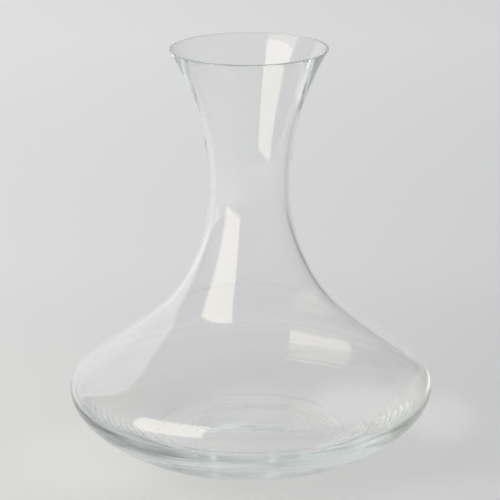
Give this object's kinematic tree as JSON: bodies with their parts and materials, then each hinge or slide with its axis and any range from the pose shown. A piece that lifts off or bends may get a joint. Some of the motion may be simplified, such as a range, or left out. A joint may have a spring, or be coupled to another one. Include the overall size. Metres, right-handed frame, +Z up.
{
  "type": "wine decanter",
  "caption": "Clear blown glass wine decanter with a flared mouth, waisted neck and wide squat bowl on a thick foot with a push-up; free-standing, without a stopper.",
  "frame": {"origin": "middle of the foot, on the surface that the decanter stands on", "axes": "+Z up the axis of the decanter; X and Y are free, because the vessel is turned"},
  "size_m": [0.216, 0.216, 0.246],
  "materials": {
    "clear_glass": "polished"
  },
  "bodies": {
    "root": {"glass_vessel": "clear_glass"}
  },
  "joints": []
}
